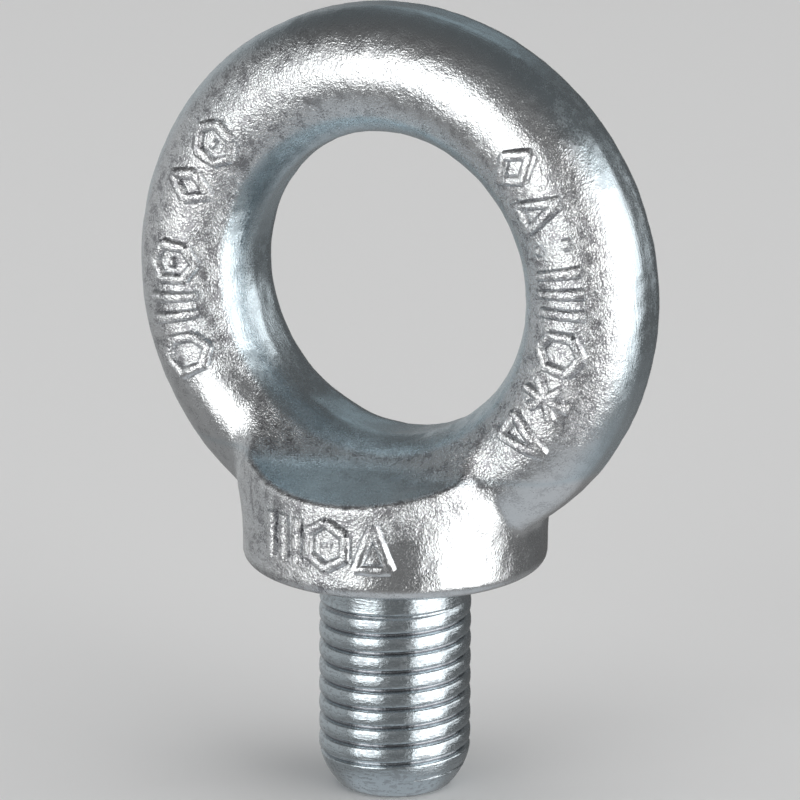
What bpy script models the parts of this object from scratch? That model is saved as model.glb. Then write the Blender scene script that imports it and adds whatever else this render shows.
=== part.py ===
"""Lifting eye bolt with an M20 thread: one drop forging, kept as three named sections.

The ring stands in the XZ plane with its hole along Y, and the shank hangs below it along -Z.
The origin is on the thread's axis, in the plane of the collar's underside, which is the seat.
lifting_ring is the eye with its saddle, collar is the round flange below it, and threaded_shank
is the plain neck with the thread. Flat joints inside the metal part the three sections.
"""

import math

import bmesh
import bpy

# Ring: the middle circle of its section, and the section's half widths.
RING_RADIUS = 0.0279  # from the hole's axis to the middle of the section
RING_CENTRE_Z = 0.0377
RING_THICK = 0.00836  # radial half width before the flash is trimmed
RING_TRIM = 0.00817  # radial half width at the trimmed lands
RING_DEEP = 0.008778  # half width along Y, at mid height
RING_TAPER = 0.000816  # how much deeper it is at the bottom, and thinner at the top
RING_STEPS = 80
SECTION_STEPS = 10  # between one land and the other, on each side

# Collar and the saddle that carries the ring.
COLLAR_RADIUS = 0.01976
EDGE_OUT, EDGE_UP = 0.0030, 0.0020  # half widths of the rounding on the lower edge
COLLAR_STEPS = 64
EDGE_STEPS = 4
SADDLE_MIDDLE_Z = 0.0170  # its height inside the ring, under the hole
SADDLE_LIP_Z = 0.0126  # its height at the collar's wall, front and back
SADDLE_MIDDLE_BEND = 0.0198  # the saddle's radius under the hole
SADDLE_LIP_BEND = 0.100  # and at the collar's wall
SADDLE_POWER = 0.85  # under 1 for a saddle that falls faster near the ring
SADDLE_SHARES = (1, 0.93, 0.86, 0.78, 0.7, 0.6, 0.5, 0.35, 0.2)  # of the collar's radius
SIDE_X, SIDE_Z, SIDE_SLOPE = 0.0150, 0.0158, 2.07  # the sloping ends of the saddle
SHOULDER_Z = 0.0062  # the collar's wall is no lower than this
SPLIT_Z = 0.005  # flat joint between collar and lifting_ring
SHOULDER_LOW_Z = 0.003  # the shoulder starts below that joint, and is cut off there

# Shank: M20 x 2.5, right-hand.
PITCH = 0.0025
CREST_RADIUS = 0.0099
THREAD_START = 0.303  # the groove's height at the +X side, counted in pitches
THREAD_DEPTH = 0.61343 * PITCH
CREST_FLAT = PITCH / 8
ROOT_FLAT = PITCH / 6
SHANK_LENGTH = 0.030
NECK_RADIUS = 0.0097
NECK_LENGTH = 0.0043  # plain length below the collar
RUNOUT = 0.0012  # over which the thread's groove fades into the neck
TIP_LENGTH = 0.0063  # the tapered end
TIP_INSET = 0.0028  # how much narrower the end face is
TIP_POWER = 2.1
SHANK_STEPS = 48
POCKET_DEPTH = 0.001  # the shank's root stands this far inside the collar
POCKET_GAP = 0.0003


def clear_scene():
    for item in list(bpy.data.objects):
        bpy.data.objects.remove(item, do_unlink=True)


def finish(name, color, roughness):
    made = bpy.data.materials.new(name)
    made.use_nodes = True
    surface = made.node_tree.nodes["Principled BSDF"]
    surface.inputs["Base Color"].default_value = (*color, 1)
    surface.inputs["Metallic"].default_value = 1
    surface.inputs["Roughness"].default_value = roughness
    return made


def clamp(value, low, high):
    return max(low, min(high, value))


def turned(radius, z, steps):
    """A level ring of points about the Z axis."""
    turns = (2 * math.pi * k / steps for k in range(steps))
    return [(radius * math.cos(t), radius * math.sin(t), z) for t in turns]


def skin(mesh, rings):
    """Quads from each ring of vertices to the next, where each ring closes on itself."""
    for low, high in zip(rings, rings[1:]):
        count = len(low)
        for k in range(count):
            after = (k + 1) % count
            mesh.faces.new((low[k], low[after], high[after], high[k]))


def add_object(name, mesh, material):
    """Makes the mesh an object, with doubles merged, faces out and round surfaces smooth."""
    bmesh.ops.remove_doubles(mesh, verts=mesh.verts, dist=1e-7)
    bmesh.ops.recalc_face_normals(mesh, faces=mesh.faces)
    data = bpy.data.meshes.new(name)
    mesh.to_mesh(data)
    mesh.free()
    data.shade_smooth()
    data.set_sharp_from_angle(angle=math.radians(35))
    data.materials.append(material)
    made = bpy.data.objects.new(name, data)
    bpy.context.collection.objects.link(made)
    return made


def add_helper(name, mesh, material):
    helper = add_object(name, mesh, material)
    helper.hide_render = True
    helper.display_type = "WIRE"
    return helper


def combine(target, operation, helper):
    cut = target.modifiers.new(helper.name, "BOOLEAN")
    cut.operation = operation
    cut.object = helper
    cut.solver = "EXACT"


def section_angles():
    """Angles round the ring's section, with one at each edge of the two trimmed lands."""
    edge = math.acos(RING_TRIM / RING_THICK)
    span = math.pi - 2 * edge
    front = [edge + span * k / SECTION_STEPS for k in range(SECTION_STEPS + 1)]
    return front + [angle + math.pi for angle in front]


def ring_mesh():
    mesh = bmesh.new()
    sections = []
    for step in range(RING_STEPS):
        turn = 2 * math.pi * step / RING_STEPS
        deep = RING_DEEP - RING_TAPER * math.sin(turn)
        points = []
        for angle in section_angles():
            out = RING_RADIUS + clamp(RING_THICK * math.cos(angle), -RING_TRIM, RING_TRIM)
            x, z = out * math.cos(turn), RING_CENTRE_Z + out * math.sin(turn)
            points.append(mesh.verts.new((x, deep * math.sin(angle), z)))
        sections.append(points)
    skin(mesh, sections + sections[:1])
    return mesh


def saddle_z(x, y):
    """Height of the saddle and its sloping ends above a point of the collar."""
    out = min(1, abs(y) / COLLAR_RADIUS) ** SADDLE_POWER
    middle = SADDLE_MIDDLE_Z + (SADDLE_LIP_Z - SADDLE_MIDDLE_Z) * out
    bend = SADDLE_MIDDLE_BEND + (SADDLE_LIP_BEND - SADDLE_MIDDLE_BEND) * out
    end = SIDE_Z - SIDE_SLOPE * (abs(x) - SIDE_X)
    return max(SHOULDER_Z, min(middle + x * x / (2 * bend), end))


def shoulder_mesh():
    """The collar's wall above the joint, closed on top by the saddle."""
    mesh = bmesh.new()
    rings = [turned(COLLAR_RADIUS, SHOULDER_LOW_Z, COLLAR_STEPS)]
    for share in SADDLE_SHARES:
        level = turned(COLLAR_RADIUS * share, 0, COLLAR_STEPS)
        rings.append([(x, y, saddle_z(x, y)) for x, y, _ in level])
    rings = [[mesh.verts.new(point) for point in ring] for ring in rings]
    skin(mesh, rings)
    mesh.faces.new(rings[0])
    mesh.faces.new(rings[-1])
    return mesh


def block_mesh():
    """A block that holds all of the ring above the joint."""
    mesh = bmesh.new()
    reach = 2 * RING_RADIUS
    corners = ((-reach, -reach), (reach, -reach), (reach, reach), (-reach, reach))
    heights = (SPLIT_Z, RING_CENTRE_Z + reach)
    rings = [[mesh.verts.new((x, y, z)) for x, y in corners] for z in heights]
    skin(mesh, rings)
    mesh.faces.new(rings[0])
    mesh.faces.new(rings[1])
    return mesh


def make_lifting_ring(material):
    ring = add_object("lifting_ring", ring_mesh(), material)
    combine(ring, "UNION", add_helper("shoulder", shoulder_mesh(), material))
    combine(ring, "INTERSECT", add_helper("above_joint", block_mesh(), material))
    return ring


def make_collar(material):
    """A flange with a rounded lower edge and a flat ring-shaped seat round the shank."""
    pocket = NECK_RADIUS + POCKET_GAP
    outline = [(pocket, POCKET_DEPTH), (pocket, 0)]
    for step in range(EDGE_STEPS + 1):
        angle = math.pi / 2 * step / EDGE_STEPS
        out = COLLAR_RADIUS - EDGE_OUT * (1 - math.sin(angle))
        outline.append((out, EDGE_UP * (1 - math.cos(angle))))
    outline.append((COLLAR_RADIUS, SPLIT_Z))
    mesh = bmesh.new()
    rings = [
        [mesh.verts.new(point) for point in turned(radius, z, COLLAR_STEPS)]
        for radius, z in outline
    ]
    skin(mesh, rings)
    mesh.faces.new(rings[0])
    mesh.faces.new(rings[-1])
    return add_object("collar", mesh, material)


def thread_radius(along):
    """Radius of an endless thread at a height counted in pitches from a groove's middle."""
    from_root = abs(along - round(along)) * PITCH
    flank = (PITCH - CREST_FLAT - ROOT_FLAT) / 2
    rise = clamp((from_root - ROOT_FLAT / 2) / flank, 0, 1)
    return CREST_RADIUS - THREAD_DEPTH * (1 - rise)


def shank_radius(turn, z):
    """Radius of the shank at a height and a turn, counted in whole turns."""
    if z >= -NECK_LENGTH:
        return NECK_RADIUS
    groove = thread_radius(z / PITCH - turn - THREAD_START)
    fade = clamp(1 + (z + NECK_LENGTH) / RUNOUT, 0, 1)
    groove = max(groove, NECK_RADIUS - THREAD_DEPTH * (1 - fade))
    taper = clamp((TIP_LENGTH - SHANK_LENGTH - z) / TIP_LENGTH, 0, 1)
    return min(groove, CREST_RADIUS - TIP_INSET * taper**TIP_POWER)


def make_threaded_shank(material):
    """Rows of points that climb one pitch a turn, held between the two end faces."""
    mesh = bmesh.new()
    flank = (PITCH - CREST_FLAT - ROOT_FLAT) / 2
    breaks = (0, ROOT_FLAT, ROOT_FLAT + flank, ROOT_FLAT + flank + CREST_FLAT)
    low, high = -SHANK_LENGTH, POCKET_DEPTH
    first = math.floor(low / PITCH) - 2
    last = math.ceil(high / PITCH) + 1
    starts = [
        (turn + THREAD_START) * PITCH + step - ROOT_FLAT / 2
        for turn in range(first, last)
        for step in breaks
    ]
    columns = []
    for step in range(SHANK_STEPS + 1):
        turn = step / SHANK_STEPS
        angle = 2 * math.pi * turn
        column = []
        for start in starts:
            z = clamp(start + turn * PITCH, low, high)
            radius = shank_radius(turn, z)
            place = (radius * math.cos(angle), radius * math.sin(angle), z)
            column.append(mesh.verts.new(place))
        columns.append(column)
    for left, right in zip(columns, columns[1:]):
        for k in range(len(starts) - 1):
            mesh.faces.new((left[k], right[k], right[k + 1], left[k + 1]))
    bmesh.ops.remove_doubles(mesh, verts=mesh.verts, dist=1e-6)
    bmesh.ops.dissolve_degenerate(mesh, edges=mesh.edges, dist=1e-6)
    bmesh.ops.holes_fill(mesh, edges=[e for e in mesh.edges if e.is_boundary], sides=0)
    return add_object("threaded_shank", mesh, material)


def main():
    clear_scene()
    forged = finish("forged_zinc", (0.56, 0.58, 0.60), 0.38)
    rolled = finish("rolled_zinc", (0.60, 0.64, 0.67), 0.25)
    make_lifting_ring(forged)
    make_collar(forged)
    make_threaded_shank(rolled)


main()
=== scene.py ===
"""Looks of a forged lifting eye bolt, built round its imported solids.

The file is laid out as a Blender add-on and is run as a script. One operator makes the zinc
finishes, one the forged body (ring, saddle and collar in one unbroken surface), one the rolled
thread, one the raised marks of the forging die, and one the stage. Lengths are in metres, in the
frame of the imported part: the thread's axis is Z, the seat is at Z = 0, and the ring stands in the
XZ plane with its hole along Y. Angles are in radians where no comment says degrees.
"""

import math

import bpy
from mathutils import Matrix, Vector


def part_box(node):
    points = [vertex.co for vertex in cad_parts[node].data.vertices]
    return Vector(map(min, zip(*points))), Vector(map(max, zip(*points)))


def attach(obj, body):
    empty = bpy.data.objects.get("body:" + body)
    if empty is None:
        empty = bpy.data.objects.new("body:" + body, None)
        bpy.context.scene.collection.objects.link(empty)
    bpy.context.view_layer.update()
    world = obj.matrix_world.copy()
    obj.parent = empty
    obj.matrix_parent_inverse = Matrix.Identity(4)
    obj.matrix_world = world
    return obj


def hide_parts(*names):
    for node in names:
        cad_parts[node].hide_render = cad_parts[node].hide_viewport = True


bl_info = {
    "name": "Forged eye bolt",
    "version": (1, 0, 0),
    "blender": (4, 5, 0),
    "location": "View3D > Sidebar > Eye bolt",
    "description": "Builds a zinc plated lifting eye bolt with its forging marks, thread and stage",
    "category": "Add Mesh",
}

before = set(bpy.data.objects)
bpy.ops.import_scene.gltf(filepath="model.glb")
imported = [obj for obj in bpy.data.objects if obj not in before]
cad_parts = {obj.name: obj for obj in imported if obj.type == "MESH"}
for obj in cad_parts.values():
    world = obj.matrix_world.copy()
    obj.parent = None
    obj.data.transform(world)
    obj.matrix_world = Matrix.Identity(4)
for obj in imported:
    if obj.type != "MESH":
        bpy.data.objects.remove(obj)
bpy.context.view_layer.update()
RING_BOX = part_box("lifting_ring")
COLLAR_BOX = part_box("collar")
SHANK_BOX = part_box("threaded_shank")
RING_OUTSIDE = RING_BOX[1].x
MM = 0.001


# Properties


def length(name, description, default):
    return bpy.props.FloatProperty(
        name=name, description=description, default=default, unit="LENGTH", precision=5
    )


def color(name, description, default):
    return bpy.props.FloatVectorProperty(
        name=name, description=description, default=default, subtype="COLOR", min=0, max=1
    )


class ForgingSizes(bpy.types.PropertyGroup):
    """Sizes of the ring, the saddle and the collar."""

    ring_trim: length("Ring trim", "Radial half width between the trimmed lands", 8.17 * MM)
    ring_thick: length("Ring thickness", "Radial half width before trimming", 8.36 * MM)
    ring_deep: length("Ring depth", "Half width along the hole, at mid height", 8.778 * MM)
    ring_taper: length("Ring taper", "How much deeper the ring is at its foot", 0.816 * MM)
    ring_radius: length("Ring radius", "To the middle of the section", RING_OUTSIDE - 8.17 * MM)
    ring_centre: length("Ring centre", "Height of the hole's axis", RING_BOX[1].z - RING_OUTSIDE)
    land_edge: length("Land edge", "Softness of the edges of the trimmed lands", 0.12 * MM)
    collar_radius: length("Collar radius", "Radius of the round flange", COLLAR_BOX[1].x)
    edge_out: length("Edge width", "Radial size of the lower edge's rounding", 3.0 * MM)
    edge_up: length("Edge height", "Height of the lower edge's rounding", 2.0 * MM)
    saddle_middle: length("Saddle middle", "Height of the saddle inside the ring", 17.0 * MM)
    saddle_lip: length("Saddle lip", "Height of the saddle at the collar's wall", 12.6 * MM)
    bend_middle: length("Middle bend", "Radius of the saddle inside the ring", 19.8 * MM)
    bend_lip: length("Lip bend", "Radius of the saddle at the collar's wall", 100 * MM)
    lip_edge: length("Lip edge", "Softness of the saddle's edge", 1.1 * MM)
    side_x: length("Side reach", "Where the saddle's sloping ends start", 15.0 * MM)
    side_z: length("Side height", "Height of the sloping ends where they start", 15.8 * MM)
    shoulder: length("Shoulder", "Height of the collar's wall below the ring's sides", 6.2 * MM)
    fillet_middle: length("Middle fillet", "Blend between saddle and ring under the hole", 4 * MM)
    fillet_large: length("Large fillet", "Blend where the saddle runs up into the ring", 6.5 * MM)
    waviness: length("Waviness", "Height of the forging's slow unevenness", 0.22 * MM)
    hammering: length("Hammering", "Height of the forging's small dents", 0.10 * MM)


class ThreadSizes(bpy.types.PropertyGroup):
    """Sizes of the neck and the thread."""

    pitch: length("Pitch", "Height of one turn", 2.5 * MM)
    crest_radius: length("Crest radius", "Half the outer diameter", SHANK_BOX[1].x)
    depth: length("Flank depth", "Height of the flanks below the crest", 0.62 * MM)
    crest_flat: length("Crest width", "Width of the crest", 1.9 * MM)
    crest_bulge: length("Crest bulge", "How much the crest stands out in its middle", 0.2 * MM)
    root_flat: length("Root flat", "Width of the root", 0.12 * MM)
    low_end: length("Low end", "Height of the end face", SHANK_BOX[0].z)
    neck_radius: length("Neck radius", "Radius of the plain neck", 9.7 * MM)
    neck_length: length("Neck length", "Plain length below the seat", 4.3 * MM)
    runout: length("Run-out", "Length over which the groove fades", 1.2 * MM)
    tip_length: length("Tip length", "Length of the tapered end", 6.3 * MM)
    tip_inset: length("Tip inset", "How much narrower the end is", 2.8 * MM)
    end_round: length("End rounding", "Radius of the end face's edge", 0.5 * MM)
    flare: length("Flare", "Radius of the fillet under the seat", 0.6 * MM)


class MarkSizes(bpy.types.PropertyGroup):
    """Sizes of the raised marks."""

    stroke: length("Stroke", "Width of a stroke at its foot", 1.65 * MM)
    height: length("Height", "How far a stroke stands out", 0.85 * MM)
    wobble: length("Wobble", "How uneven the strokes are", 0.17 * MM)


class ZincColors(bpy.types.PropertyGroup):
    """Colours of the plating; the rolled and the dull zinc also carry painted shade."""

    bright: color("Bright zinc", "Clean plating on the forging", (0.78, 0.79, 0.80))
    # The rolled colour is the thread's own duller plating, darkened further as painted shade for
    # the thread's place under the collar.
    rolled: color("Rolled zinc", "Clean plating on the thread", (0.50, 0.53, 0.55))
    blue: color("Blue passivation", "Where the passivation is thick", (0.58, 0.67, 0.72))
    # The dull colour is used for the forging's pits and the worn thread, and as painted shade in
    # the thread's grooves.
    dull_and_shade: color("Dull zinc", "In the pits of the forging", (0.28, 0.28, 0.30))


# Node formulas


class Value:
    """A socket that can stand in a formula, so that a node tree reads as sums do."""

    def __init__(self, tree, socket):
        self.tree = tree
        self.socket = socket

    def __add__(self, other):
        return calculate("ADD", self, other)

    def __radd__(self, other):
        return calculate("ADD", other, self)

    def __sub__(self, other):
        return calculate("SUBTRACT", self, other)

    def __rsub__(self, other):
        return calculate("SUBTRACT", other, self)

    def __mul__(self, other):
        return calculate("MULTIPLY", self, other)

    def __rmul__(self, other):
        return calculate("MULTIPLY", other, self)

    def __truediv__(self, other):
        return calculate("DIVIDE", self, other)

    def __rtruediv__(self, other):
        return calculate("DIVIDE", other, self)

    def __pow__(self, other):
        return calculate("POWER", self, other)

    def __neg__(self):
        return calculate("MULTIPLY", self, -1.0)


def plug(term, socket):
    """Links a Value to a socket, or sets the socket to a plain number."""
    if isinstance(term, Value):
        term.tree.links.new(term.socket, socket)
    else:
        socket.default_value = term


def calculate(operation, *terms):
    tree = next(term.tree for term in terms if isinstance(term, Value))
    node = tree.nodes.new("ShaderNodeMath")
    node.operation = operation
    for term, socket in zip(terms, node.inputs):
        plug(term, socket)
    return Value(tree, node.outputs[0])


def root(term):
    return calculate("SQRT", term)


def size(term):
    return calculate("ABSOLUTE", term)


def lower(one, other, softness=None):
    """The lower of two values, blended where they cross if a softness is given."""
    if softness is None:
        return calculate("MINIMUM", one, other)
    return calculate("SMOOTH_MIN", one, other, softness)


def higher(one, other, softness=None):
    if softness is None:
        return calculate("MAXIMUM", one, other)
    return calculate("SMOOTH_MAX", one, other, softness)


def held(term, low, high):
    return lower(higher(term, low), high)


def across(x, y):
    return root(x * x + y * y)


def ramp(term, start, end, low=0.0, high=1.0):
    """Goes smoothly from low to high as the term goes from start to end."""
    node = term.tree.nodes.new("ShaderNodeMapRange")
    node.interpolation_type = "SMOOTHSTEP"
    for value, name in (
        (term, "Value"),
        (start, "From Min"),
        (end, "From Max"),
        (low, "To Min"),
        (high, "To Max"),
    ):
        plug(value, node.inputs[name])
    return Value(term.tree, node.outputs["Result"])


def between(amount, low, high):
    """Goes straight from low to high as the amount goes from 0 to 1."""
    return low + (high - low) * amount


def split(vector):
    node = vector.tree.nodes.new("ShaderNodeSeparateXYZ")
    plug(vector, node.inputs[0])
    return [Value(vector.tree, socket) for socket in node.outputs]


def join(tree, x, y, z):
    node = tree.nodes.new("ShaderNodeCombineXYZ")
    for term, socket in zip((x, y, z), node.inputs):
        plug(term, socket)
    return Value(tree, node.outputs[0])


def vectors(operation, *terms):
    """Vector math. A result that is a number comes from the node's second output."""
    tree = next(term.tree for term in terms if isinstance(term, Value))
    node = tree.nodes.new("ShaderNodeVectorMath")
    node.operation = operation
    sockets = [node.inputs[0], node.inputs[1]]
    if operation == "SCALE":
        sockets[1] = node.inputs["Scale"]
    for term, socket in zip(terms, sockets):
        plug(term, socket)
    number = operation in ("DOT_PRODUCT", "LENGTH", "DISTANCE")
    return Value(tree, node.outputs["Value" if number else "Vector"])


def noise(position, scale, detail=2.0, roughness=0.5):
    """A noise texture from 0 to 1, and its color output for three noises at once."""
    node = position.tree.nodes.new("ShaderNodeTexNoise")
    plug(position, node.inputs["Vector"])
    plug(scale, node.inputs["Scale"])
    plug(detail, node.inputs["Detail"])
    plug(roughness, node.inputs["Roughness"])
    return Value(position.tree, node.outputs[0]), Value(position.tree, node.outputs[1])


def new_tree(kind, name, inputs, outputs):
    """A node tree with named sockets. Returns it, its inputs by name, and its output node."""
    tree = bpy.data.node_groups.new(name, kind)
    for label, socket_type in inputs:
        tree.interface.new_socket(label, in_out="INPUT", socket_type=socket_type)
    for label, socket_type in outputs:
        tree.interface.new_socket(label, in_out="OUTPUT", socket_type=socket_type)
    given = tree.nodes.new("NodeGroupInput")
    out = tree.nodes.new("NodeGroupOutput")
    values = {label: Value(tree, given.outputs[label]) for label, _ in inputs}
    return tree, values, out


def use_group(tree, group, given):
    """Places a group in a tree, with its inputs filled by name."""
    node = tree.nodes.new(
        "GeometryNodeGroup" if tree.bl_idname == "GeometryNodeTree" else "ShaderNodeGroup"
    )
    node.node_tree = group
    for label, term in given.items():
        if label in node.inputs:
            plug(term, node.inputs[label])
    return {socket.name: Value(tree, socket) for socket in node.outputs}


def size_inputs(settings):
    """The names of a PropertyGroup's own numbers, as float sockets."""
    names = [p.identifier for p in settings.bl_rna.properties if p.type == "FLOAT"]
    return [(name, "NodeSocketFloat") for name in names]


def add_node(tree, kind, given=None, output=0, **settings):
    """Adds a node, sets its options and fills its inputs. Returns one output as a Value."""
    node = tree.nodes.new(kind)
    for name, value in settings.items():
        setattr(node, name, value)
    for label, term in (given or {}).items():
        plug(term, node.inputs[label])
    return Value(tree, node.outputs[output])


def run_tree(name, tree, settings, source=None):
    """Runs a geometry tree once and leaves its outcome as the plain mesh of a new object."""
    piece = bpy.data.objects.new(name, source or bpy.data.meshes.new(name + "_start"))
    bpy.context.scene.collection.objects.link(piece)
    modifier = piece.modifiers.new("Shape", "NODES")
    modifier.node_group = tree
    for item in tree.interface.items_tree:
        if item.in_out == "INPUT" and item.socket_type == "NodeSocketFloat":
            modifier[item.identifier] = settings[item.name]
    evaluated = piece.evaluated_get(bpy.context.evaluated_depsgraph_get())
    made = bpy.data.meshes.new_from_object(evaluated)
    piece.modifiers.clear()
    piece.data = made
    made.name = name
    return piece


def numbers(*groups):
    """All numbers of some PropertyGroups, by name."""
    return {label: getattr(group, label) for group in groups for label, _ in size_inputs(group)}


# Shape of the forging


def distance_tree(sizes):
    """Distance from a point to the forging's surface: below zero inside the metal."""
    inputs = [("Position", "NodeSocketVector"), *size_inputs(sizes)]
    outputs = [("Distance", "NodeSocketFloat")]
    tree, given, out = new_tree("GeometryNodeTree", "Forging distance", inputs, outputs)
    x, y, z = split(given["Position"])
    rise = z - given["ring_centre"]
    from_axis = across(x, rise)
    ring = ring_distance(given, from_axis, y, rise)
    body = lower(ring, shoulder_distance(given, x, y, z), fillet(given, x))
    hole = given["ring_radius"] - given["ring_trim"] - from_axis
    plug(higher(body, hole, given["land_edge"]), out.inputs["Distance"])
    return tree


def ring_distance(given, from_axis, y, rise):
    """An elliptical section that is deeper at its foot, with a trimmed land outside."""
    reach = from_axis - given["ring_radius"]
    thick = given["ring_thick"]
    deep = given["ring_deep"] - given["ring_taper"] * rise / from_axis
    level = across(reach / thick, y / deep)
    slope = across(reach / (thick * thick), y / (deep * deep))
    section = level * (level - 1.0) / higher(slope, 1.0)
    return higher(section, reach - given["ring_trim"], given["land_edge"])


SADDLE_POWER = 0.85  # under 1 for a saddle that falls faster near the ring
SIDE_SLOPE = 2.07  # steepness of the saddle's sloping ends


def shoulder_distance(given, x, y, z):
    """The collar and the saddle that closes it on top."""
    radius = given["collar_radius"]
    share = lower(size(y) / radius, 1.0) ** SADDLE_POWER
    middle = given["saddle_middle"] + (given["saddle_lip"] - given["saddle_middle"]) * share
    bend = given["bend_middle"] + (given["bend_lip"] - given["bend_middle"]) * share
    lean = x / bend
    saddle = (z - middle - x * lean / 2.0) / root(1.0 + lean * lean)
    end = given["side_z"] - SIDE_SLOPE * (size(x) - given["side_x"])
    end = (z - end) / math.hypot(1, SIDE_SLOPE)
    top = higher(saddle, end, given["lip_edge"])
    out = higher(across(x, y) - radius + given["edge_out"], 0.0) / given["edge_out"]
    down = higher(given["edge_up"] - z, 0.0) / given["edge_up"]
    wall = (across(out, down) - 1.0) * given["edge_out"]
    flange = higher(wall, z - given["shoulder"], given["edge_up"])
    return lower(higher(wall, top, given["lip_edge"]), flange)


FILLET_GROWS = (4 * MM, 12 * MM)  # distance from the middle over which the fillet widens
FILLET_FADES = (17.5 * MM, 21 * MM)  # and over which it closes again at the sides
SIDE_SHARE = 0.3  # how much of it is left there


def fillet(given, x):
    """Width of the blend: wide where the saddle runs up into the ring."""
    extra = (given["fillet_large"] - given["fillet_middle"]) * ramp(size(x), *FILLET_GROWS)
    return (given["fillet_middle"] + extra) * ramp(size(x), *FILLET_FADES, 1.0, SIDE_SHARE)


PROBE = 0.05 * MM  # step used to find the surface's direction


def to_surface(tree, group, given, position):
    """The distance at a position, and the direction straight out of the metal there."""
    here = use_group(tree, group, {**given, "Position": position})["Distance"]
    steps = []
    for axis in range(3):
        offset = [PROBE if k == axis else 0.0 for k in range(3)]
        probe = vectors("ADD", position, Vector(offset))
        there = use_group(tree, group, {**given, "Position": probe})["Distance"]
        steps.append((there - here) / PROBE)
    slope = join(tree, *steps)
    steepness = vectors("LENGTH", slope)
    return here / steepness, vectors("NORMALIZE", slope)


def set_position(tree, mesh, position=None, offset=None):
    given = {"Geometry": mesh}
    if position is not None:
        given["Position"] = position
    if offset is not None:
        given["Offset"] = offset
    return add_node(tree, "GeometryNodeSetPosition", given)


def settle(tree, group, given, mesh):
    """Moves every vertex straight onto the forging's surface."""
    position = add_node(tree, "GeometryNodeInputPosition")
    gap, outward = to_surface(tree, group, given, position)
    return set_position(tree, mesh, offset=vectors("SCALE", outward, -gap))


VOXEL = 0.47 * MM
MARGIN = 1.2 * MM  # space round the forging in the block of voxels
RELAX_STEPS = 2
BLUR_STEPS = 2


def body_tree(sizes, group, material):
    """Meshes the forging's surface from its distance, then settles the mesh on it."""
    inputs = size_inputs(sizes)
    outputs = [("Geometry", "NodeSocketGeometry")]
    tree, given, out = new_tree("GeometryNodeTree", "Forged body", inputs, outputs)
    position = add_node(tree, "GeometryNodeInputPosition")
    distance = use_group(tree, group, {**given, "Position": position})["Distance"]
    low = Vector((-RING_OUTSIDE, COLLAR_BOX[0].y, COLLAR_BOX[0].z)) - Vector((MARGIN,) * 3)
    high = Vector((RING_OUTSIDE, COLLAR_BOX[1].y, RING_BOX[1].z)) + Vector((MARGIN,) * 3)
    counts = [math.ceil((high[k] - low[k]) / VOXEL) for k in range(3)]
    block = {
        "Density": distance / -MM,
        "Background": -1.0,
        "Min": low,
        "Max": high,
        **{f"Resolution {axis}": count for axis, count in zip("XYZ", counts)},
    }
    volume = add_node(tree, "GeometryNodeVolumeCube", block)
    mesh = add_node(tree, "GeometryNodeVolumeToMesh", {"Volume": volume, "Threshold": 0.0})
    mesh = settle(tree, group, given, mesh)
    for _ in range(RELAX_STEPS):
        relaxed = add_node(
            tree,
            "GeometryNodeBlurAttribute",
            {"Value": add_node(tree, "GeometryNodeInputPosition"), "Iterations": BLUR_STEPS},
            data_type="FLOAT_VECTOR",
        )
        mesh = set_position(tree, mesh, position=relaxed)
        mesh = settle(tree, group, given, mesh)
    mesh = roughen(tree, group, given, mesh)
    finish_tree(tree, mesh, material, out)
    return tree


WAVE_SCALE = 240.0  # waves per metre
DENT_SCALE = 620.0
FLAT_SEAT = 0.4 * MM  # the seat stays true up to this height


def roughen(tree, group, given, mesh):
    """Gives the forging its slight unevenness, apart from the flat seat."""
    position = add_node(tree, "GeometryNodeInputPosition")
    _, outward = to_surface(tree, group, given, position)
    wave, _ = noise(position, WAVE_SCALE, 1.0, 0.5)
    dents, _ = noise(position, DENT_SCALE, 1.0, 0.5)
    _, _, z = split(position)
    uneven = (wave - 0.5) * given["waviness"] + (dents - 0.5) * given["hammering"]
    amount = uneven * ramp(z, FLAT_SEAT, 5 * FLAT_SEAT)
    return set_position(tree, mesh, offset=vectors("SCALE", outward, amount))


def finish_tree(tree, mesh, material, out):
    """Every geometry tree ends in plain geometry, shaded smooth, with its material."""
    mesh = add_node(tree, "GeometryNodeSetShadeSmooth", {"Geometry": mesh})
    mesh = add_node(tree, "GeometryNodeRealizeInstances", {"Geometry": mesh})
    mesh = add_node(tree, "GeometryNodeSetMaterial", {"Geometry": mesh, "Material": material})
    plug(mesh, out.inputs["Geometry"])


# Shape of the thread

THREAD_COLUMNS = 144
ROWS_IN_PITCH = 16
THREAD_START = 0.303  # the groove's height at the +X side, counted in pitches
HIDDEN_LENGTH = 0.6 * MM  # the neck starts this far inside the collar
ROOT_SOFTNESS = 0.12  # shares of the flank over which its two ends are rounded
CREST_SOFTNESS = 0.7
NECK_EDGE = 0.3 * MM  # over which the thread's crests turn into the plain neck
TIP_POWER = 2.1  # over 1 for a tip that tapers faster towards its end
SPARE_TURNS = 2  # turns of the sheet below the shank's end, which close it
CLOSING_TURNS = 0.9  # over which the sheet's spare rows run in to the axis
MERGE_DISTANCE = 0.002 * MM


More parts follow.
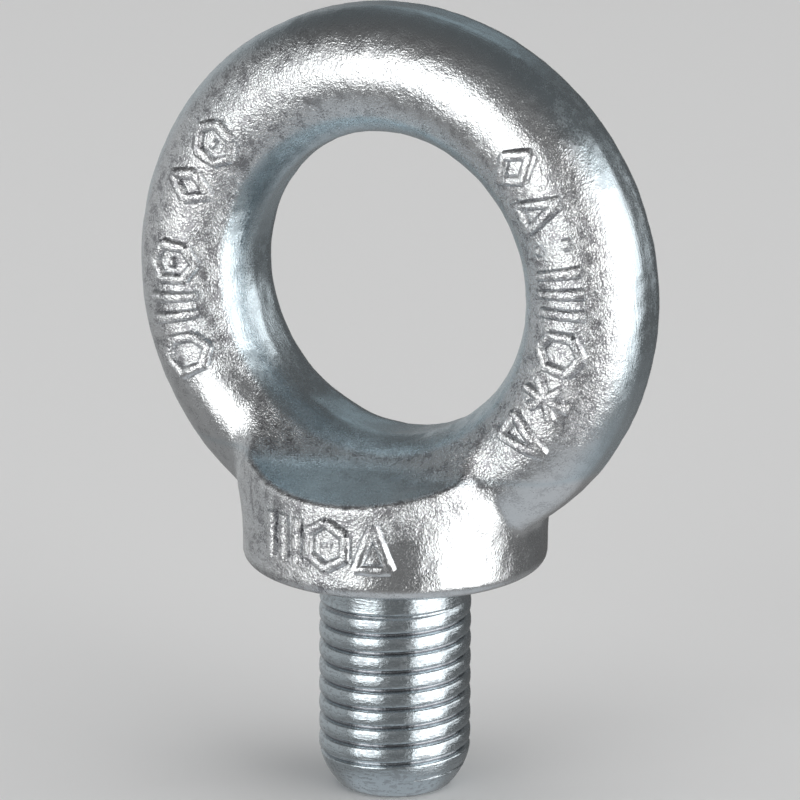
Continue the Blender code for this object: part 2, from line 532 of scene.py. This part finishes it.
def thread_radius(given, turn, z):
    """Radius of the neck, the thread and the tapered tip."""
    pitch = given["pitch"]
    along = z / pitch - turn - THREAD_START
    from_root = size(along - calculate("ROUND", along)) * pitch
    flank = (pitch - given["crest_flat"] - given["root_flat"]) / 2.0
    rise = (from_root - given["root_flat"] / 2.0) / flank
    rise = lower(higher(rise, 0.0, ROOT_SOFTNESS), 1.0, CREST_SOFTNESS)
    from_middle = 1.0 - from_root * 2.0 / pitch
    bulge = given["crest_bulge"] * from_middle * from_middle
    groove = given["crest_radius"] - given["depth"] * (1.0 - rise) - bulge
    fade = held(1.0 + (z + given["neck_length"]) / given["runout"], 0.0, 1.0)
    plain = given["neck_radius"] - given["depth"] * (1.0 - fade)
    above = ramp(z, -given["neck_length"] - NECK_EDGE, -given["neck_length"])
    groove = groove + (given["neck_radius"] - groove) * above
    groove = higher(groove, plain)
    height = z - given["low_end"]
    taper = held((given["tip_length"] - height) / given["tip_length"], 0.0, 1.0)
    outside = given["crest_radius"] - given["tip_inset"] * taper**TIP_POWER
    near_end = held(1.0 - height / given["end_round"], 0.0, 1.0)
    outside = outside - given["end_round"] * (1.0 - root(1.0 - near_end * near_end))
    near_seat = held(1.0 + z / given["flare"], 0.0, 1.0)
    flare = given["flare"] * (1.0 - root(1.0 - near_seat * near_seat))
    return lower(groove + flare, outside + flare)


def thread_tree(sizes, material):
    """A sheet of rows that climb one pitch a turn, rolled up and closed at both ends."""
    inputs = size_inputs(sizes)
    outputs = [("Geometry", "NodeSocketGeometry")]
    tree, given, out = new_tree("GeometryNodeTree", "Rolled thread", inputs, outputs)
    pitch = sizes.pitch
    covered = HIDDEN_LENGTH - sizes.low_end + (SPARE_TURNS + 1) * pitch
    rows = math.ceil(covered / pitch * ROWS_IN_PITCH)
    sheet = add_node(
        tree,
        "GeometryNodeMeshGrid",
        {
            "Size X": 1.0,
            "Size Y": float(rows),
            "Vertices X": THREAD_COLUMNS + 1,
            "Vertices Y": rows + 1,
        },
        output="Mesh",
    )
    across_sheet, up_sheet, _ = split(add_node(tree, "GeometryNodeInputPosition"))
    turn = across_sheet + 0.5
    row = up_sheet + rows / 2
    start = given["low_end"] - float(SPARE_TURNS) * given["pitch"]
    raw = start + given["pitch"] * (row / float(ROWS_IN_PITCH) + turn)
    z = held(raw, given["low_end"], HIDDEN_LENGTH)
    beyond = size(raw - z) / given["pitch"]
    closing = held(1.0 - beyond / CLOSING_TURNS, 0.0, 1.0)
    radius = thread_radius(given, turn, z) * closing
    angle = turn * math.tau
    place = join(
        tree, radius * calculate("COSINE", angle), radius * calculate("SINE", angle), z
    )
    mesh = set_position(tree, sheet, position=place)
    merge = {"Geometry": mesh, "Distance": MERGE_DISTANCE}
    mesh = add_node(tree, "GeometryNodeMergeByDistance", merge)
    finish_tree(tree, mesh, material, out)
    return tree


# Raised marks of the die

# Strokes of each mark as X1, Y1, X2, Y2, in half heights from its middle.
BAR = ((0, -1, 0, 1),)
PAIR = ((-0.5, -1, -0.5, 1), (0.5, -1, 0.5, 1))
TALLY = ((-0.75, -1, -0.75, 1), (0, -1, 0, 1), (0.75, -1, 0.75, 1))
LOZENGE = ((0, -1, 0.75, 0), (0.75, 0, 0, 1), (0, 1, -0.75, 0), (-0.75, 0, 0, -1))
HEXAGON = (
    (0, -1, 0.85, -0.5),
    (0.85, -0.5, 0.85, 0.5),
    (0.85, 0.5, 0, 1),
    (0, 1, -0.85, 0.5),
    (-0.85, 0.5, -0.85, -0.5),
    (-0.85, -0.5, 0, -1),
)
STUD = ((0, -0.1, 0, 0.1),)
STAR = ((0, -1, 0, 1), (-0.75, -0.5, 0.75, 0.5), (-0.75, 0.5, 0.75, -0.5))
TRIANGLE = ((-0.75, -0.9, 0.75, -0.9), (0.75, -0.9, 0, 1), (0, 1, -0.75, -0.9))
STUDS = ((0, -0.8, 0, -0.5), (0, 0.5, 0, 0.8))
MARK_HALF = 3.0 * MM
RING_MARK_WIDTH = 0.85  # the ring's marks are narrowed to this share

# Each mark, and its angle in degrees round the ring or, on the collar, from the front.
RIGHT_MARKS = (
    (LOZENGE, 42),
    (TRIANGLE, 29),
    (STUDS, 19),
    (BAR, 12),
    (PAIR, 4),
    (HEXAGON, -9),
    (STAR, -22),
    (TRIANGLE, -35),
)
LEFT_MARKS = (
    (HEXAGON + STUD, 142),
    (LOZENGE, 156),
    (HEXAGON + STUD, 178),
    (PAIR, 190),
    (HEXAGON, 203),
)
COLLAR_MARKS = ((TALLY, -18), (HEXAGON + STUD, 1), (TRIANGLE, 19))
COLLAR_MARK_Z = 7.4 * MM
STROKE_POINTS = 14
SECTION_POINTS = 20
SECTION_POWER = 0.8  # under 1 for a flat-topped stroke
BLUNT_END = 0.05  # share of the stroke's width that is left at its ends
WOBBLE_SCALE = 900.0  # dents per metre
SETTLE_STEPS = 2


def stroke_lines(name, marks, radius, width):
    """Edges for the strokes, laid flat: X runs round the forging and Y across the marks."""
    points, edges = [], []
    for shape, angle in marks:
        middle = math.radians(angle) * radius
        for x1, y1, x2, y2 in shape:
            edges.append((len(points), len(points) + 1))
            points.append((middle + x1 * width * MARK_HALF, y1 * MARK_HALF, 0))
            points.append((middle + x2 * width * MARK_HALF, y2 * MARK_HALF, 0))
    mesh = bpy.data.meshes.new(name + "_lines")
    mesh.from_pydata(points, edges, [])
    return mesh


def strokes_tree(sizes, marks, group, material, wrap, name):
    """Sweeps a flat-topped section along each line and lays the strokes on the forging."""
    inputs = [("Geometry", "NodeSocketGeometry"), *size_inputs(sizes), *size_inputs(marks)]
    outputs = [("Geometry", "NodeSocketGeometry")]
    tree, given, out = new_tree("GeometryNodeTree", name, inputs, outputs)
    curve = add_node(tree, "GeometryNodeMeshToCurve", {"Mesh": given["Geometry"]})
    curve = add_node(tree, "GeometryNodeResampleCurve", {"Curve": curve, "Count": STROKE_POINTS})
    half = given["stroke"] / 2.0
    walked = add_node(tree, "GeometryNodeSplineParameter", output="Length")
    whole = add_node(tree, "GeometryNodeSplineLength", output="Length")
    from_end = lower(walked, whole - walked)
    short = 1.0 - held(from_end / half, 0.0, 1.0)
    radius = higher(root(1.0 - short * short), BLUNT_END)
    curve = add_node(tree, "GeometryNodeSetCurveRadius", {"Curve": curve, "Radius": radius})
    section = add_node(
        tree, "GeometryNodeCurvePrimitiveCircle", {"Resolution": SECTION_POINTS, "Radius": 1.0}
    )
    x, y, _ = split(add_node(tree, "GeometryNodeInputPosition"))
    wide = calculate("SIGN", x) * size(x) ** SECTION_POWER * half
    tall = calculate("SIGN", y) * size(y) ** SECTION_POWER * given["height"]
    section = set_position(tree, section, position=join(tree, wide, tall, 0.0))
    swept = {"Curve": curve, "Profile Curve": section, "Fill Caps": True}
    mesh = add_node(tree, "GeometryNodeCurveToMesh", swept)
    position = add_node(tree, "GeometryNodeInputPosition")
    _, uneven = noise(position, WOBBLE_SCALE, 2.0, 0.5)
    uneven = vectors("SUBTRACT", uneven, Vector((0.5, 0.5, 0.5)))
    mesh = set_position(tree, mesh, offset=vectors("SCALE", uneven, given["wobble"] * 2.0))
    mesh, height = store_height(tree, mesh)
    mesh = set_position(tree, mesh, position=wrap(tree, given))
    if wrap is wrap_on_ring:
        mesh = add_node(tree, "GeometryNodeFlipFaces", {"Mesh": mesh})
    for _ in range(SETTLE_STEPS):
        mesh = settle(tree, group, given, mesh)
    position = add_node(tree, "GeometryNodeInputPosition")
    _, outward = to_surface(tree, group, given, position)
    mesh = set_position(tree, mesh, offset=vectors("SCALE", outward, height))
    finish_tree(tree, mesh, material, out)
    return tree


def store_height(tree, mesh):
    """Keeps each point's height over the flat sheet before it is wrapped."""
    _, _, z = split(add_node(tree, "GeometryNodeInputPosition"))
    node = tree.nodes.new("GeometryNodeCaptureAttribute")
    node.capture_items.new("FLOAT", "Height")
    plug(mesh, node.inputs["Geometry"])
    plug(z, node.inputs["Height"])
    return Value(tree, node.outputs["Geometry"]), Value(tree, node.outputs["Height"])


def wrap_on_ring(tree, given):
    """The flat sheet's X goes round the ring's crown, and Y goes outwards over it."""
    x, y, _ = split(add_node(tree, "GeometryNodeInputPosition"))
    round_ring = x / given["ring_radius"]
    over = y / given["ring_thick"]
    reach = given["ring_radius"] + given["ring_thick"] * calculate("SINE", over)
    front = -given["ring_deep"] * calculate("COSINE", over)
    return join(
        tree,
        reach * calculate("COSINE", round_ring),
        front,
        given["ring_centre"] + reach * calculate("SINE", round_ring),
    )


def wrap_on_collar(tree, given):
    """The flat sheet's X goes round the collar's wall from its front, and Y goes up."""
    x, y, _ = split(add_node(tree, "GeometryNodeInputPosition"))
    turn = x / given["collar_radius"]
    radius = given["collar_radius"]
    return join(
        tree,
        radius * calculate("SINE", turn),
        -radius * calculate("COSINE", turn),
        y + COLLAR_MARK_Z,
    )


# Finishes

SPECKLE_SIZE = 0.25 * MM
SPECKLE_HEIGHT = 0.125 * MM
FINE_SHARE = 0.4  # height of the finest speckle as a share of the creases'
CRUMPLE_SCALE = 0.42  # scale of the creases as a share of the finest speckle's
CLUSTER_SCALE = 0.16  # and of the clusters that both gather in
CLUSTER_HEIGHTS = (0.35, 1.65)  # share of the height between clusters, and inside them
CLUSTER_PITS = 0.8  # how much the pits keep to the gaps between clusters
PIT_LEVELS = (0.50, 0.36)  # levels of the speckle at which a pit begins and is deep
STREAK_SHARE = 0.35  # height of the streaks as a share of the speckle's
STREAK_STRETCH = 0.16  # streaks are this much finer across than along
CLOUD_SCALE = 90.0  # slow changes of tint, per metre
CLOUD_SHARE = 0.5  # how strong they are


def grain_group():
    """Speckle that a die leaves on hot steel, streaks round the ring's inside, and dark pits."""
    outputs = [(label, "NodeSocketFloat") for label in ("Height", "Streaks", "Darkening")]
    inputs = [("Position", "NodeSocketVector"), ("Size", "NodeSocketFloat")]
    tree, given, out = new_tree("ShaderNodeTree", "Forging grain", inputs, outputs)
    sizes = bpy.context.scene.eyebolt_forging
    scale = 1.0 / given["Size"]
    fine, _ = noise(given["Position"], scale, 3.0, 0.65)
    crumple, _ = noise(given["Position"], scale * CRUMPLE_SCALE, 3.0, 0.55)
    cluster, _ = noise(given["Position"], scale * CLUSTER_SCALE, 2.0, 0.5)
    creased = size(crumple - 0.5) * 2.0
    height = (fine * FINE_SHARE + creased) * between(cluster, *CLUSTER_HEIGHTS)
    plug(height, out.inputs["Height"])
    x, y, z = split(given["Position"])
    rise = z - sizes.ring_centre
    turn = calculate("ARCTAN2", rise, x) * sizes.ring_radius
    stretched = join(tree, turn * STREAK_STRETCH, y, across(x, rise))
    streaks, _ = noise(stretched, scale, 3.0, 0.6)
    plug(streaks, out.inputs["Streaks"])
    plug(ramp(fine + (cluster - 0.5) * CLUSTER_PITS, *PIT_LEVELS), out.inputs["Darkening"])
    return tree


# The forging's zones, each given by two places: where it begins and where it is full.
CROWN_OUTSIDE = (math.radians(22), math.radians(52))  # turns round the ring's section
CROWN_INSIDE = (math.radians(138), math.radians(128))
WALL_DEPTHS = (1.2 * MM, 0.3 * MM)  # inside the collar's radius
EDGE_TOP = (4 * MM, 2 * MM)  # heights: below them even the lower edge counts as wall
COLLAR_TOP = (16.5 * MM, 14.5 * MM)  # heights: below them the ring's crown ends
# The patches that the die has left smoother, with how smooth each of them is.
FOOT_X, FOOT_Z, FOOT_SMOOTH = (-14 * MM, -19 * MM), (27 * MM, 22 * MM), 0.65
TOP_X, TOP_Z, TOP_SMOOTH = (-15 * MM, -3 * MM), (50 * MM, 62 * MM), 0.5
SIDE_X, SIDE_Z, SIDE_SMOOTH = (0.0, 5 * MM), (26 * MM, 18 * MM), 0.7
SIDE_REACH = (1 * MM, 4 * MM)  # outwards from the middle of the ring's section


def zones_group():
    """Where the crown and the wall are, and how speckled the die has left them."""
    inputs = [("Position", "NodeSocketVector")]
    outputs = [("Crown", "NodeSocketFloat"), ("Speckled", "NodeSocketFloat")]
    tree, given, out = new_tree("ShaderNodeTree", "Forging zones", inputs, outputs)
    sizes = bpy.context.scene.eyebolt_forging
    x, y, z = split(given["Position"])
    reach = across(x, z - sizes.ring_centre) - sizes.ring_radius
    turn = calculate("ARCTAN2", size(y) / sizes.ring_deep, reach / sizes.ring_thick)
    crown = ramp(turn, *CROWN_OUTSIDE) * ramp(turn, *CROWN_INSIDE)
    wall = ramp(sizes.collar_radius - across(x, y), *WALL_DEPTHS)
    wall = higher(wall, ramp(z, *EDGE_TOP))
    low = ramp(z, *COLLAR_TOP)
    crown = higher(crown * (1.0 - low), wall * low)
    foot = ramp(x, *FOOT_X) * ramp(z, *FOOT_Z) * FOOT_SMOOTH
    top = ramp(x, *TOP_X) * ramp(z, *TOP_Z) * TOP_SMOOTH
    side = ramp(x, *SIDE_X) * ramp(z, *SIDE_Z) * ramp(reach, *SIDE_REACH) * SIDE_SMOOTH
    smooth = higher(foot, higher(top, side))
    plug(crown, out.inputs["Crown"])
    plug(crown * (1.0 - smooth), out.inputs["Speckled"])
    return tree


def plating_group():
    """Slow changes of tint and brightness over zinc with blue passivation."""
    inputs = [
        ("Position", "NodeSocketVector"),
        ("Bright", "NodeSocketColor"),
        ("Blue", "NodeSocketColor"),
        ("Dark", "NodeSocketColor"),
        ("Darkening", "NodeSocketFloat"),
        ("Tint", "NodeSocketFloat"),
    ]
    outputs = [("Color", "NodeSocketColor")]
    tree, given, out = new_tree("ShaderNodeTree", "Zinc plating", inputs, outputs)
    cloud, _ = noise(given["Position"], CLOUD_SCALE, 2.0, 0.5)
    amount = held(given["Tint"] + (cloud - 0.5) * CLOUD_SHARE, 0.0, 1.0)
    tinted = mix_colors(tree, amount, given["Bright"], given["Blue"])
    # The darkening mask carries the forging's pits, the thread's wear and the painted shade in the
    # thread's grooves.
    plug(mix_colors(tree, given["Darkening"], tinted, given["Dark"]), out.inputs["Color"])
    return tree


def mix_colors(tree, amount, first, second):
    """A Mix node's colour sockets come after those for its numbers and vectors."""
    node = tree.nodes.new("ShaderNodeMix")
    node.data_type = "RGBA"
    plug(amount, node.inputs["Factor"])
    plug(first, node.inputs[6])
    plug(second, node.inputs[7])
    return Value(tree, node.outputs[2])


def start_material(name):
    """A metal with a Principled surface. Returns it, its tree, its surface and a position."""
    material = bpy.data.materials.new(name)
    material.use_nodes = True
    tree = material.node_tree
    surface = tree.nodes["Principled BSDF"]
    surface.inputs["Metallic"].default_value = 1
    position = add_node(tree, "ShaderNodeTexCoord", output="Object")
    return material, tree, surface, position


def add_bump(tree, surface, height, distance):
    node = tree.nodes.new("ShaderNodeBump")
    node.inputs["Distance"].default_value = distance
    node.inputs["Strength"].default_value = 1.0
    plug(height, node.inputs["Height"])
    tree.links.new(node.outputs["Normal"], surface.inputs["Normal"])


def rgba(values):
    return (*values, 1.0)


CLEAN_ROUGHNESS = 0.16
PIT_ROUGHNESS = 0.12  # added in the pits
INSIDE_ROUGHNESS = 0.08  # added off the crown and the wall


def forged_zinc(colors, groups):
    """Plated forging: speckled on the crown and the wall, smoother inside and on the lands."""
    material, tree, surface, position = start_material("forged_zinc_plating")
    zones = use_group(tree, groups["zones"], {"Position": position})
    grain = use_group(tree, groups["grain"], {"Position": position, "Size": SPECKLE_SIZE})
    crown, speckled = zones["Crown"], zones["Speckled"]
    plating = {
        "Position": position,
        "Bright": rgba(colors.bright),
        "Blue": rgba(colors.blue),
        "Dark": rgba(colors.dull_and_shade),
        "Darkening": grain["Darkening"] * between(speckled, 0.06, 0.81),
        "Tint": between(crown, 0.95, 0.1),
    }
    plated = use_group(tree, groups["plating"], plating)
    plug(plated["Color"], surface.inputs["Base Color"])
    roughness = CLEAN_ROUGHNESS + PIT_ROUGHNESS * grain["Darkening"] + INSIDE_ROUGHNESS * (1.0 - crown)
    plug(roughness, surface.inputs["Roughness"])
    speckle = grain["Height"] * between(speckled, 0.12, 1.0)
    streaks = grain["Streaks"] * STREAK_SHARE * (1.0 - crown)
    add_bump(tree, surface, speckle + streaks, SPECKLE_HEIGHT)
    return material


ROLL_SCALE = 3400.0  # streaks per metre along the shank
ROLL_STRETCH = 0.2  # their scale round it, as a share of that
SPOT_SCALE = 1500.0
ROLLED_HEIGHT = 0.055 * MM
WORN_LEVELS = (0.52, 0.40)  # levels of streaks and spots at which wear begins and is full
WORN_DULL = 0.4  # how far the wear turns to the dull colour
WORN_ROUGHNESS = (0.21, 0.37)  # of clean and of worn metal
GROOVE_SHADE = 0.8  # how dark the painted shade in the grooves is
GROOVE_SHADE_DEPTHS = (0.3 * MM, 0.6 * MM)  # below the crest, where the painted shade in the grooves begins and is full
GROOVE_SHADE_START = 3 * MM  # above the shank's end


def rolled_zinc(colors, groups):
    """Plated thread: smoother and bluer, with fine streaks the way the rolls ran, a colour darkened
    by painted shade, and painted shade in its grooves.
    """
    material, tree, surface, position = start_material("rolled_zinc_plating")
    x, y, z = split(position)
    streaks, _ = noise(join(tree, x * ROLL_STRETCH, y * ROLL_STRETCH, z), ROLL_SCALE, 3.0, 0.6)
    spots, _ = noise(position, SPOT_SCALE, 3.0, 0.6)
    worn = ramp(streaks * 0.5 + spots * 0.5, *WORN_LEVELS)
    sizes = bpy.context.scene.eyebolt_thread
    # Painted shade: the grooves darken towards the dull colour with their depth below the crest,
    # fading out towards the shank's end.
    groove = ramp(sizes.crest_radius - across(x, y), *GROOVE_SHADE_DEPTHS)
    groove = groove * ramp(z - sizes.low_end, GROOVE_SHADE_START, sizes.tip_length)
    plating = {
        "Position": position,
        # The thread's base colour: its own plating, partly darkened as painted shade.
        "Bright": rgba(colors.rolled),
        "Blue": rgba(colors.blue),
        "Dark": rgba(colors.dull_and_shade),
        # The grooves' painted shade joins the wear here, in the mask that darkens towards the dull
        # colour.
        "Darkening": higher(worn * WORN_DULL, groove * GROOVE_SHADE),
        "Tint": 0.6,
    }
    plated = use_group(tree, groups["plating"], plating)
    plug(plated["Color"], surface.inputs["Base Color"])
    plug(between(worn, *WORN_ROUGHNESS), surface.inputs["Roughness"])
    add_bump(tree, surface, streaks + spots * 0.6, ROLLED_HEIGHT)
    return material


def pale_floor():
    material = bpy.data.materials.new("pale_floor")
    material.use_nodes = True
    surface = material.node_tree.nodes["Principled BSDF"]
    surface.inputs["Base Color"].default_value = (0.80, 0.80, 0.80, 1)
    surface.inputs["Roughness"].default_value = 0.9
    return material


# Operators


class EYEBOLT_OT_finishes(bpy.types.Operator):
    """Makes the two zinc finishes and the node groups that they share"""

    bl_idname = "eyebolt.finishes"
    bl_label = "Zinc finishes"

    def execute(self, context):
        colors = context.scene.eyebolt_colors
        groups = {"zones": zones_group(), "grain": grain_group(), "plating": plating_group()}
        forged_zinc(colors, groups)
        rolled_zinc(colors, groups)
        return {"FINISHED"}


class EYEBOLT_OT_forged_body(bpy.types.Operator):
    """Makes the ring, the saddle and the collar as one forged surface"""

    bl_idname = "eyebolt.forged_body"
    bl_label = "Forged body"

    def execute(self, context):
        sizes = context.scene.eyebolt_forging
        group = distance_tree(sizes)
        tree = body_tree(sizes, group, bpy.data.materials["forged_zinc_plating"])
        body = run_tree("forged_body", tree, numbers(sizes))
        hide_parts("lifting_ring", "collar")
        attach(body, "root")
        return {"FINISHED"}


class EYEBOLT_OT_rolled_thread(bpy.types.Operator):
    """Makes the plain neck, the thread and its tapered tip"""

    bl_idname = "eyebolt.rolled_thread"
    bl_label = "Rolled thread"

    def execute(self, context):
        sizes = context.scene.eyebolt_thread
        tree = thread_tree(sizes, bpy.data.materials["rolled_zinc_plating"])
        thread = run_tree("rolled_thread", tree, numbers(sizes))
        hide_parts("threaded_shank")
        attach(thread, "root")
        return {"FINISHED"}


class EYEBOLT_OT_die_marks(bpy.types.Operator):
    """Makes the raised marks on both limbs of the ring and on the collar"""

    bl_idname = "eyebolt.die_marks"
    bl_label = "Die marks"

    def execute(self, context):
        sizes = context.scene.eyebolt_forging
        marks = context.scene.eyebolt_marks
        group = bpy.data.node_groups["Forging distance"]
        material = bpy.data.materials["forged_zinc_plating"]
        ring = (sizes.ring_radius, RING_MARK_WIDTH, wrap_on_ring)
        collar = (sizes.collar_radius, 1.0, wrap_on_collar)
        rows = (
            ("right_limb_marks", RIGHT_MARKS, *ring),
            ("left_limb_marks", LEFT_MARKS, *ring),
            ("collar_marks", COLLAR_MARKS, *collar),
        )
        for name, chosen, radius, width, wrap in rows:
            lines = stroke_lines(name, chosen, radius, width)
            tree = strokes_tree(sizes, marks, group, material, wrap, name)
            piece = run_tree(name, tree, numbers(sizes, marks), lines)
            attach(piece, "root")
        return {"FINISHED"}


# Stage: directions are (azimuth, elevation) in degrees. Azimuth 0 is in front, 90 on the right.
STAGE_CENTRE = Vector((0, 0, 22 * MM))
CAMERA_DIRECTION = (27.25, 15.18)
CAMERA_DISTANCE = 0.78935
CAMERA_LENS = 275.3
CAMERA_SHIFT = (0.005, -0.0028)
CAMERA_ROLL = 0.22
# Each soft panel of the room: its middle, the angles to its sides, their softness, its
# radiance and its tint.
PANELS = (
    ((-17, 5), (20, 22), 3, 2.7, (1.0, 1.0, 0.99)),
    ((83, 0), (26, 33), 3, 2.5, (1.0, 0.99, 0.98)),
    ((124, 12), (15, 18), 3, 1.5, (1.0, 0.99, 0.98)),
    ((27, 8), (18, 18), 10, 0.14, (1.0, 1.0, 1.0)),
    ((-98, 0), (50, 22), 10, 0.38, (0.97, 0.99, 1.0)),
    ((0, 46), (45, 10), 12, 0.14, (1.0, 1.0, 1.0)),
    ((-168, 38), (22, 13), 12, 0.32, (0.76, 0.93, 1.0)),
)
ROOM = (0.12, 0.12, 0.12)
GROUND = (0.27, 0.27, 0.27)
GROUND_TURNS = (-15, -35)  # elevations between which the room turns into the ground
NADIR = (0.50, 0.52, 0.54)
NADIR_TURNS = (-40, -58)
FLOOR_HALF = 6.0
CEILING_HEIGHT = 1.5
CEILING_SIDE = 2.0
CEILING_RADIANCE = 1.2


def direction(azimuth, elevation):
    a, e = math.radians(azimuth), math.radians(elevation)
    return Vector((math.sin(a) * math.cos(e), -math.cos(a) * math.cos(e), math.sin(e)))


def aim(item, where, distance, roll=0.0):
    """Puts a light or the camera in a direction from the stage's centre, facing it."""
    away = direction(*where)
    item.location = STAGE_CENTRE + away * distance
    turned = (-away).to_track_quat("-Z", "Y").to_matrix()
    item.rotation_euler = turned.to_euler()
    item.rotation_euler.rotate_axis("Z", math.radians(roll))


def add_camera():
    data = bpy.data.cameras.new("camera")
    data.lens = CAMERA_LENS
    data.shift_x, data.shift_y = CAMERA_SHIFT
    data.clip_end = 20
    camera = bpy.data.objects.new("camera", data)
    bpy.context.scene.collection.objects.link(camera)
    aim(camera, CAMERA_DIRECTION, CAMERA_DISTANCE, CAMERA_ROLL)
    bpy.context.scene.camera = camera


def add_ceiling():
    """A large soft light over the floor, which the metal doesn't mirror."""
    data = bpy.data.lights.new("ceiling", "AREA")
    data.size = CEILING_SIDE
    data.energy = CEILING_RADIANCE * math.pi * CEILING_SIDE**2
    light = bpy.data.objects.new("ceiling", data)
    light.location = (0, 0, CEILING_HEIGHT)
    light.visible_camera = False
    light.visible_glossy = False
    bpy.context.scene.collection.objects.link(light)


def add_floor():
    """A pale square at the level of the shank's end, which the metal doesn't mirror."""
    signs = ((-1, -1), (1, -1), (1, 1), (-1, 1))
    corners = [(x * FLOOR_HALF, y * FLOOR_HALF, SHANK_BOX[0].z) for x, y in signs]
    mesh = bpy.data.meshes.new("floor")
    mesh.from_pydata(corners, [], [(0, 1, 2, 3)])
    mesh.materials.append(pale_floor())
    floor = bpy.data.objects.new("floor", mesh)
    bpy.context.scene.collection.objects.link(floor)
    floor.visible_glossy = False


def add_world():
    """A dim room over a pale ground, with soft panels all round."""
    world = bpy.data.worlds.new("studio")
    bpy.context.scene.world = world
    world.use_nodes = True
    tree = world.node_tree
    background = tree.nodes["Background"]
    x, y, z = split(add_node(tree, "ShaderNodeTexCoord", output="Generated"))
    azimuth = calculate("DEGREES", calculate("ARCTAN2", x, -y))
    elevation = calculate("DEGREES", calculate("ARCSINE", z))
    light = mix_colors(tree, ramp(elevation, *GROUND_TURNS), rgba(ROOM), rgba(GROUND))
    light = mix_colors(tree, ramp(elevation, *NADIR_TURNS), light, rgba(NADIR))
    for middle, angles, softness, radiance, tint in PANELS:
        inside = 1.0
        for place, centre, angle in zip((azimuth, elevation), middle, angles):
            off = size(place - centre)
            inside = ramp(off, angle + softness, angle - softness) * inside
        glow = join(tree, *[inside * (radiance * part) for part in tint])
        light = vectors("ADD", light, glow)
    plug(light, background.inputs["Color"])
    background.inputs["Strength"].default_value = 1.0


class EYEBOLT_OT_stage(bpy.types.Operator):
    """Makes the pale floor, the room, the soft lights and the camera"""

    bl_idname = "eyebolt.stage"
    bl_label = "Stage"

    def execute(self, context):
        add_floor()
        add_world()
        add_ceiling()
        add_camera()
        context.scene.view_settings.view_transform = "Standard"
        return {"FINISHED"}


class EYEBOLT_PT_panel(bpy.types.Panel):
    """Lists the pieces and their sizes"""

    bl_idname = "EYEBOLT_PT_panel"
    bl_label = "Forged eye bolt"
    bl_space_type = "VIEW_3D"
    bl_region_type = "UI"
    bl_category = "Eye bolt"

    def draw(self, context):
        for attribute, _ in SETTINGS:
            settings = getattr(context.scene, attribute)
            box = self.layout.box()
            for entry in settings.bl_rna.properties:
                if entry.type == "FLOAT":
                    box.prop(settings, entry.identifier)
        for operator in OPERATORS:
            self.layout.operator(operator.bl_idname)


SETTINGS = (
    ("eyebolt_forging", ForgingSizes),
    ("eyebolt_thread", ThreadSizes),
    ("eyebolt_marks", MarkSizes),
    ("eyebolt_colors", ZincColors),
)
OPERATORS = (
    EYEBOLT_OT_finishes,
    EYEBOLT_OT_forged_body,
    EYEBOLT_OT_rolled_thread,
    EYEBOLT_OT_die_marks,
    EYEBOLT_OT_stage,
)


def register():
    for attribute, group in SETTINGS:
        bpy.utils.register_class(group)
        setattr(bpy.types.Scene, attribute, bpy.props.PointerProperty(type=group))
    for shown in (*OPERATORS, EYEBOLT_PT_panel):
        bpy.utils.register_class(shown)


def unregister():
    for shown in (EYEBOLT_PT_panel, *reversed(OPERATORS)):
        bpy.utils.unregister_class(shown)
    for attribute, group in reversed(SETTINGS):
        delattr(bpy.types.Scene, attribute)
        bpy.utils.unregister_class(group)


def main():
    register()
    for operator in OPERATORS:
        group, name = operator.bl_idname.split(".")
        getattr(getattr(bpy.ops, group), name)()


if __name__ == "__main__":
    main()
